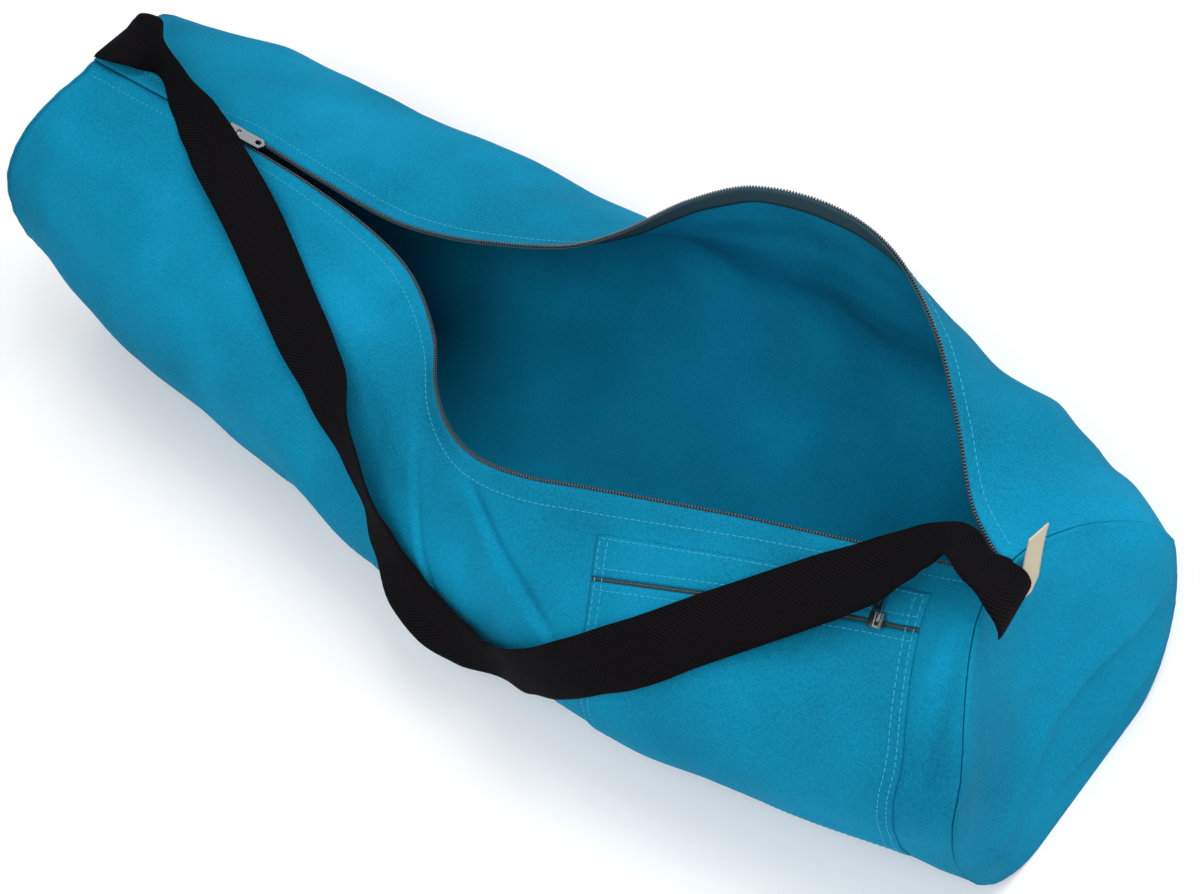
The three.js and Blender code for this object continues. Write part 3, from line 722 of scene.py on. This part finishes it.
# The long zip. Its tapes' inner edges are a little uneven.
zipper = {
    "reach": 0.998,         # a share of the half length
    "tapeWidth": 15,
    "tapeThickness": 0.7,
    "tapeInset": 0.2,
    "uneven": 1.6,          # how much a tape's width varies
    "unevenTurns": 16,
    "unevenApart": 3.0,
    "alongSteps": 300,
    "acrossPoints": 6,
    "toothPitch": 1.9,
    "toothSize": (1.1, 2.0 / 2.2, 1.0),
    "outStep": 2,           # how far out a point is taken to find the outside
    "samples": 400,
}


def zipTape(name, side, node):
    top = -bag["clothWall"] - bag["fit"]
    edge = -bag["coilReach"] - bag["coilRadius"] + zipper["tapeInset"]
    outer = []
    inner = []
    for at in np.linspace(-zipper["reach"], zipper["reach"], zipper["alongSteps"] + 1):
        place = Vector((at * zipper["unevenTurns"], side * zipper["unevenApart"], 0))
        width = zipper["tapeWidth"] + zipper["uneven"] * noise.noise(place)
        downs = np.linspace(edge, edge + width, zipper["acrossPoints"])
        outer.append([clothPoint(at, side, down, top) for down in downs])
        inner.append([clothPoint(at, side, down, top - zipper["tapeThickness"]) for down in downs])
    made = sheetBetween(name, np.array(outer), np.array(inner), tapeCloth)
    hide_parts(node)
    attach(made, root)


toothShape = smallShape("tooth_shape", [
    (-0.5, 0.3, 0.3),
    (-0.42, 0.85, 0.8),
    (-0.15, 1.1, 1.0),
    (0.15, 1.1, 1.0),
    (0.42, 0.85, 0.8),
    (0.5, 0.3, 0.3),
])


def zipTeeth(name, side, node):
    raiseMiddle = -bag["clothWall"] + bag["coilRadius"]

    def point(t, out=raiseMiddle):
        at = zipper["reach"] * (2 * t - 1)
        return clothPoint(at, side, -bag["coilReach"], out)

    places, alongs, times = evenPlaces(point, zipper["toothPitch"], zipper["samples"])
    turns = []
    for place, along, t in zip(places, alongs, times):
        turns.append(turnFrom(along, point(t, raiseMiddle + zipper["outStep"]) - place))
    made = scattered(name, places, turns, toothShape, coilMetal, zipper["toothSize"])
    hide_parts(node)
    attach(made, root)


for sideName, side in (("back", 1), ("front", -1)):
    zipTape("tape_" + sideName, side, "zip_tape_" + sideName)
    zipTeeth("teeth_" + sideName, side, "zip_coil_" + sideName)
print("long zip made")

# The metal pieces keep the frame's own shapes, with softened edges
metal = {"edge": 0.25, "edgeSteps": 2}
for node in ("main_slider", "main_pull", "pocket_slider", "pocket_pull"):
    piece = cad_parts[node]
    piece.data.materials.clear()
    piece.data.materials.append(bright)
    softened = piece.modifiers.new("softened", "BEVEL")
    softened.width = metal["edge"] * millimetre
    softened.segments = metal["edgeSteps"]
    softened.limit_method = "ANGLE"

# The strap, a flat band with thin edges
strap = {
    "width": 38,
    "thickness": 2.2,
    "edgePower": 14,        # a larger power keeps the band thick nearer to its edges
    "edgeLeast": 0.05,
    "alongSteps": 420,
    "acrossSteps": 14,
    "turnSmoothing": 6,
}

# Its route, listed. Each row is a place on its middle line, in half lengths along and in drum
# radii across and up, and then the direction across the band there.
strapRows = np.array([
    [-0.916, 0.28, 1.92, 0.00, 0.97, -0.17],
    [-0.888, 0.31, 1.96, -0.10, 0.92, 0.08],
    [-0.854, 0.36, 1.97, -0.25, 0.82, 0.40],
    [-0.827, 0.38, 1.94, -0.30, 0.62, 0.68],
    [-0.792, 0.33, 1.91, 0.15, 0.35, 0.85],
    [-0.728, 0.21, 1.84, 0.40, 0.45, 0.70],
    [-0.664, 0.12, 1.75, 0.42, 0.75, 0.45],
    [-0.605, 0.02, 1.68, 0.38, 0.90, 0.20],
    [-0.477, -0.20, 1.57, 0.40, 0.91, 0.07],
    [-0.293, -0.58, 1.42, 0.44, 0.87, 0.25],
    [-0.194, -0.77, 1.35, 0.42, 0.72, 0.50],
    [-0.093, -1.02, 1.28, 0.40, 0.25, 0.85],
    [-0.020, -1.20, 1.15, 0.35, 0.10, 0.90],
    [0.025, -1.32, 0.99, 0.10, 0.42, 0.88],
    [0.086, -1.45, 0.84, -0.02, 0.66, 0.74],
    [0.140, -1.50, 0.78, 0.18, 0.64, 0.72],
    [0.204, -1.50, 0.73, 0.30, 0.45, 0.82],
    [0.261, -1.47, 0.70, 0.20, 0.10, 0.96],
    [0.322, -1.47, 0.84, -0.12, 0.12, 0.98],
    [0.384, -1.42, 1.00, -0.25, 0.25, 0.93],
    [0.443, -1.31, 1.16, -0.35, 0.38, 0.85],
    [0.522, -1.08, 1.31, -0.75, 0.50, 0.40],
    [0.573, -0.88, 1.40, -0.82, 0.52, 0.22],
    [0.667, -0.57, 1.60, -0.80, 0.58, 0.13],
    [0.711, -0.43, 1.70, -0.83, 0.54, 0.05],
    [0.772, -0.24, 1.84, -0.76, 0.62, -0.10],
    [0.812, -0.09, 1.95, -0.66, 0.62, -0.35],
    [0.841, 0.00, 2.02, -0.60, 0.62, -0.50],
    [0.868, 0.04, 2.06, -0.56, 0.60, -0.56],
    [0.898, 0.02, 2.06, -0.50, 0.66, -0.54],
    [0.924, 0.00, 2.05, -0.38, 0.80, -0.42],
    [0.945, -0.02, 2.00, -0.28, 0.90, -0.28],
    [0.956, -0.03, 1.93, -0.22, 0.94, -0.20],
    [0.958, -0.04, 1.87, -0.18, 0.95, -0.22],
])


# The strap's middle line, its headings and its directions across, worked out from the route
def strapLine():
    points = strapRows[:, :3] * np.array([halfLength, radius, radius])
    acrosses = strapRows[:, 3:] / np.linalg.norm(strapRows[:, 3:], axis=1)[:, None]
    knots = np.concatenate([[0], np.cumsum(np.linalg.norm(np.diff(points, axis=0), axis=1) ** 0.5)])
    ends = (2 * points[0] - points[1], 2 * points[-1] - points[-2])
    padded = np.vstack([ends[0], points, ends[1]])
    padKnots = np.concatenate([[-knots[1]], knots, [2 * knots[-1] - knots[-2]]])
    middles = []
    directions = []
    for time in np.linspace(0, knots[-1], strap["alongSteps"] + 1):
        k = int(np.clip(np.searchsorted(knots, time, side="right") - 1, 0, len(points) - 2))
        p0, p1, p2, p3 = padded[k:k + 4]
        t0, t1, t2, t3 = padKnots[k:k + 4]
        a1 = (t1 - time) / (t1 - t0) * p0 + (time - t0) / (t1 - t0) * p1
        a2 = (t2 - time) / (t2 - t1) * p1 + (time - t1) / (t2 - t1) * p2
        a3 = (t3 - time) / (t3 - t2) * p2 + (time - t2) / (t3 - t2) * p3
        b1 = (t2 - time) / (t2 - t0) * a1 + (time - t0) / (t2 - t0) * a2
        b2 = (t3 - time) / (t3 - t1) * a2 + (time - t1) / (t3 - t1) * a3
        middles.append((t2 - time) / (t2 - t1) * b1 + (time - t1) / (t2 - t1) * b2)
        share = float(smoothStep(time, t1, t2))
        directions.append(acrosses[k] * (1 - share) + acrosses[k + 1] * share)
    middles = np.array(middles)
    headings = np.gradient(middles, axis=0)
    headings /= np.linalg.norm(headings, axis=1)[:, None]
    directions = np.array(directions)
    for _ in range(strap["turnSmoothing"]):
        directions[1:-1] = (directions[:-2] + 2 * directions[1:-1] + directions[2:]) / 4
    directions -= headings * (directions * headings).sum(axis=1)[:, None]
    directions /= np.linalg.norm(directions, axis=1)[:, None]
    return middles, headings, directions


strapMiddles, strapHeadings, strapAcross = strapLine()
strapReach = np.concatenate([[0], np.cumsum(np.linalg.norm(np.diff(strapMiddles, axis=0), axis=1))])
strapShares = np.linspace(-1, 1, strap["acrossSteps"] + 1)


def strapGrids():
    normals = np.cross(strapHeadings, strapAcross)
    roundness = np.sqrt(np.clip(1 - np.abs(strapShares) ** strap["edgePower"], strap["edgeLeast"], 1))
    grids = []
    for face in (1, -1):
        half = face * strap["thickness"] / 2 * roundness
        grids.append(
            strapMiddles[:, None]
            + strapAcross[:, None] * strapShares[None, :, None] * strap["width"] / 2
            + normals[:, None] * half[None, :, None]
        )
    return grids


strapOuter, strapInner = strapGrids()
band = sheetBetween("strap_webbing", strapOuter, strapInner, webbingCloth)
addUv(band, [(reach, share * strap["width"] / 2) for reach in strapReach for share in strapShares] * 2)
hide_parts("strap")
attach(band, root)
print("strap made")

# The pocket, measured across from its near edge and down from the front lip
pocket = {
    "nearEdge": 0.92,       # a share of the half length
    "width": 200,
    "height": 174,
    "drop": 17,
    "band": 19,
    "tilt": 6,
    "cloth": 1.2,
    "lift": 0.2,            # from the wall up to the pocket's cloth
    "edgeRounding": 0.45,   # a share of the cloth's thickness
    "edgeReach": 1.2,
    "halfGap": 1.3,
    "tapeLap": 0.2,
    "tapeHeights": (0.15, 0.5),
    "acrossSteps": 90,
    "upperSteps": 14,
    "lowerSteps": 90,
    "tapeSteps": 4,
    "toothPitch": 1.5,
    "toothSize": (1.0, 0.5, 0.45),
    "toothOut": 0.98,
    "samples": 160,
}


def pocketTop(across):
    return pocket["drop"] + pocket["tilt"] * across / pocket["width"]


def pocketZip(across):
    return pocketTop(across) + pocket["band"] + pocket["tilt"] * across / pocket["width"]


def pocketBottom(across):
    return pocket["drop"] + pocket["height"]


def gapTop(across):
    return pocketZip(across) - pocket["halfGap"]


def gapBottom(across):
    return pocketZip(across) + pocket["halfGap"]


def pocketPoint(across, down, out):
    at = pocket["nearEdge"] - across / (halfLength - pullAt(down))
    return clothPoint(at, -1, down, out)


# A sheet on the wall between two lines across the pocket, with rounded edges
def pocketSheet(name, top, bottom, downSteps, heights, material, node):
    low, high = heights
    outer = []
    inner = []
    for across in np.linspace(0, pocket["width"], pocket["acrossSteps"] + 1):
        edgeAcross = min(across, pocket["width"] - across)
        outerRow = []
        innerRow = []
        for share in np.linspace(0, 1, downSteps + 1):
            down = top(across) * (1 - share) + bottom(across) * share
            edgeDown = min(down - top(across), bottom(across) - down)
            edge = max(min(edgeAcross, edgeDown), 0)
            inward = min(edge / pocket["edgeReach"], 1)
            rounding = pocket["edgeRounding"] * (1 - math.sqrt(1 - (1 - inward) ** 2))
            outerRow.append(pocketPoint(across, down, high - rounding * (high - low)))
            innerRow.append(pocketPoint(across, down, low))
        outer.append(outerRow)
        inner.append(innerRow)
    made = sheetBetween(name, np.array(outer), np.array(inner), material)
    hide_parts(node)
    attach(made, root)


def tapeTop(across):
    return gapTop(across) + pocket["tapeLap"]


def tapeBottom(across):
    return gapBottom(across) - pocket["tapeLap"]


clothHeights = (pocket["lift"], pocket["lift"] + pocket["cloth"])
pocketSheet(
    "pocket_upper", pocketTop, gapTop, pocket["upperSteps"], clothHeights,
    canvas, "pocket_band",
)
pocketSheet(
    "pocket_lower", gapBottom, pocketBottom, pocket["lowerSteps"], clothHeights,
    canvas, "pocket_panel",
)
pocketSheet(
    "pocket_tape", tapeTop, tapeBottom, pocket["tapeSteps"], pocket["tapeHeights"],
    tapeCloth, "pocket_zip_tape",
)


def pocketTeeth():
    def point(t, out=pocket["toothOut"]):
        across = pocket["width"] * t
        return pocketPoint(across, pocketZip(across), out)

    places, alongs, times = evenPlaces(point, pocket["toothPitch"], pocket["samples"])
    turns = []
    for place, along, t in zip(places, alongs, times):
        turns.append(turnFrom(along, point(t, pocket["toothOut"] + zipper["outStep"]) - place))
    made = scattered("pocket_teeth", places, turns, toothShape, coilMetal, pocket["toothSize"])
    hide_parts("pocket_zip_coil")
    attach(made, root)


pocketTeeth()
print("pocket made")

# The blank cotton tab. Its middle is at across and up, in drum radii, and at the frame's own place along.
tab = {
    "length": 44,
    "width": 16,
    "thickness": 0.8,
    "turn": 68,             # degrees up from level
    "across": 0.22,
    "up": 1.87,
    "bow": 1.2,
    "alongPoints": 25,
    "acrossPoints": 9,
}
tabLow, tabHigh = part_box("label_tab")
tabX = (tabLow[0] + tabHigh[0]) / 2 / millimetre


def tabPiece():
    turn = math.radians(tab["turn"])
    along = np.array([0, math.cos(turn), math.sin(turn)])
    across = np.array([0, -math.sin(turn), math.cos(turn)])
    middle = np.array([tabX, tab["across"] * radius, tab["up"] * radius])
    outer = []
    inner = []
    for s in np.linspace(-1, 1, tab["alongPoints"]):
        bow = tab["bow"] * max(s, 0) ** 2
        outerRow = []
        innerRow = []
        for t in np.linspace(-1, 1, tab["acrossPoints"]):
            place = middle + along * s * tab["length"] / 2 + across * t * tab["width"] / 2
            outerRow.append(place + np.array([bow + tab["thickness"] / 2, 0, 0]))
            innerRow.append(place + np.array([bow - tab["thickness"] / 2, 0, 0]))
        outer.append(outerRow)
        inner.append(innerRow)
    made = sheetBetween("tab", np.array(outer), np.array(inner), tabCloth)
    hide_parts("label_tab")
    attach(made, root)


tabPiece()

# Stitches
stitch = {
    "pitch": 4.0,
    "size": (2.9, 0.55, 0.55),
    "clothHeight": 0.05,
    "pocketHeight": 1.4,
    "reach": 0.985,         # a share of the half length
    "lipInset": 7,
    "dipInset": 5,          # how much further in the front row lies where the lip dips
    "dipAt": 0.3,
    "dipSpan": 0.35,
    "sideInset": 3,
    "sideApart": 5,
    "topInset": 2,
    "zipInset": 6,
    "footInset": 3,
    "sideFrom": 3,
    "sideTo": 4,
    "outStep": 3,           # how far out a point is taken to find the outside
    "lipSamples": 260,
    "pocketSamples": 120,
}
stitchShape = smallShape("stitch_shape", [
    (-0.5, 0.12, 0.05),
    (-0.42, 0.42, 0.36),
    (-0.2, 0.5, 0.5),
    (0.2, 0.5, 0.5),
    (0.42, 0.42, 0.36),
    (0.5, 0.12, 0.05),
])


# A row of stitches along the line that point(t, out) draws
def stitchLine(name, point, height, samples):
    places, alongs, times = evenPlaces(lambda t: point(t, height), stitch["pitch"], samples)
    turns = []
    for place, along, t in zip(places, alongs, times):
        turns.append(turnFrom(along, point(t, height + stitch["outStep"]) - place))
    made = scattered(name, places, turns, stitchShape, thread, stitch["size"])
    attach(made, root)


def lipStitches(name, side, downAt):
    def point(t, out):
        at = stitch["reach"] * (2 * t - 1)
        return clothPoint(at, side, downAt(at), out)

    stitchLine(name, point, stitch["clothHeight"], stitch["lipSamples"])


# A row on the pocket from one place across to another. startDown and endDown tell how far down it lies.
def pocketStitches(name, startAcross, endAcross, startDown, endDown):
    def point(t, out):
        across = startAcross + (endAcross - startAcross) * t
        down = startDown(across) * (1 - t) + endDown(across) * t
        return pocketPoint(across, down, out)

    stitchLine(name, point, stitch["pocketHeight"], stitch["pocketSamples"])


def frontInset(at):
    fromDip = (at - stitch["dipAt"]) / stitch["dipSpan"]
    return stitch["lipInset"] + stitch["dipInset"] * math.exp(-(fromDip ** 2))


lipStitches("stitch_front_lip", -1, frontInset)
lipStitches("stitch_back_lip", 1, lambda at: stitch["lipInset"])

nearSide = stitch["sideInset"]
farSide = pocket["width"] - stitch["sideInset"]
levelRows = {
    "top": lambda across: pocketTop(across) + stitch["topInset"],
    "band": lambda across: pocketZip(across) - stitch["zipInset"],
    "under": lambda across: pocketZip(across) + stitch["zipInset"],
    "foot": lambda across: pocketBottom(across) - stitch["footInset"],
}
for name, downAt in levelRows.items():
    pocketStitches("stitch_pocket_" + name, nearSide, farSide, downAt, downAt)


def sideStart(across):
    return pocketTop(across) + stitch["sideFrom"]


def sideEnd(across):
    return pocketBottom(across) - stitch["sideTo"]


sideRows = (nearSide, nearSide + stitch["sideApart"], farSide - stitch["sideApart"], farSide)
for index, across in enumerate(sideRows):
    pocketStitches("stitch_pocket_side_%d" % index, across, across, sideStart, sideEnd)
print("stitches made")

for shape in (toothShape, stitchShape):
    bpy.data.objects.remove(shape)

# The floor
ground = {"half": 6000, "below": 0.3, "colour": (0.95, 0.95, 0.95), "roughness": 0.9}


def floorPiece():
    signs = ((-1, -1), (1, -1), (1, 1), (-1, 1))
    corners = [(x * ground["half"], y * ground["half"], -ground["below"]) for x, y in signs]
    material = shaderNodes("floor", ground["colour"], ground["roughness"])[0]
    return newObject("floor", corners, [(0, 1, 2, 3)], material)


floorPiece()

# The lights, with places in metres
lights = {
    "key": {"place": (0.6, 0.8, 1.8), "aim": (0.05, 0.0, 0.05), "size": 1.3, "power": 20},
    "fill": {"place": (0.9, -0.9, 1.9), "aim": (0.1, 0, 0.05), "size": 1.0, "power": 20},
    "back": {"place": (-1.4, 1.2, 1.2), "aim": (0, 0, 0.1), "size": 1.6, "power": 4},
}
worldStrength = 0.6
for name, light in lights.items():
    lamp = bpy.data.lights.new(name, "AREA")
    lamp.size = light["size"]
    lamp.energy = light["power"]
    holder = bpy.data.objects.new(name, lamp)
    holder.location = light["place"]
    aim = Vector(light["aim"]) - Vector(light["place"])
    holder.rotation_mode = "QUATERNION"
    holder.rotation_quaternion = aim.to_track_quat("-Z", "Y")
    bpy.context.scene.collection.objects.link(holder)
world = bpy.data.worlds.new("studio")
bpy.context.scene.world = world
world.use_nodes = True
world.node_tree.nodes["Background"].inputs["Color"].default_value = (1, 1, 1, 1)
world.node_tree.nodes["Background"].inputs["Strength"].default_value = worldStrength
bpy.context.scene.view_settings.view_transform = "Standard"

# The camera looks down from the near front, turned in its own picture. Its place is in metres.
camera = {
    "place": (0.7532, -0.3365, 1.1116),
    "right": (0.7266, 0.6277, -0.2795),
    "up": (-0.4334, 0.7343, 0.5225),
    "lens": 63,
    "sensor": 36,
    "clipStart": 0.05,
}
cameraData = bpy.data.cameras.new("camera")
cameraData.lens = camera["lens"]
cameraData.sensor_width = camera["sensor"]
cameraData.clip_start = camera["clipStart"]
cameraObject = bpy.data.objects.new("camera", cameraData)
right = Vector(camera["right"]).normalized()
up = Vector(camera["up"])
up = (up - right * up.dot(right)).normalized()
back = right.cross(up)
turned = Matrix((right, up, back)).transposed().to_4x4()
cameraObject.matrix_world = Matrix.Translation(camera["place"]) @ turned
bpy.context.scene.collection.objects.link(cameraObject)
bpy.context.scene.camera = cameraObject
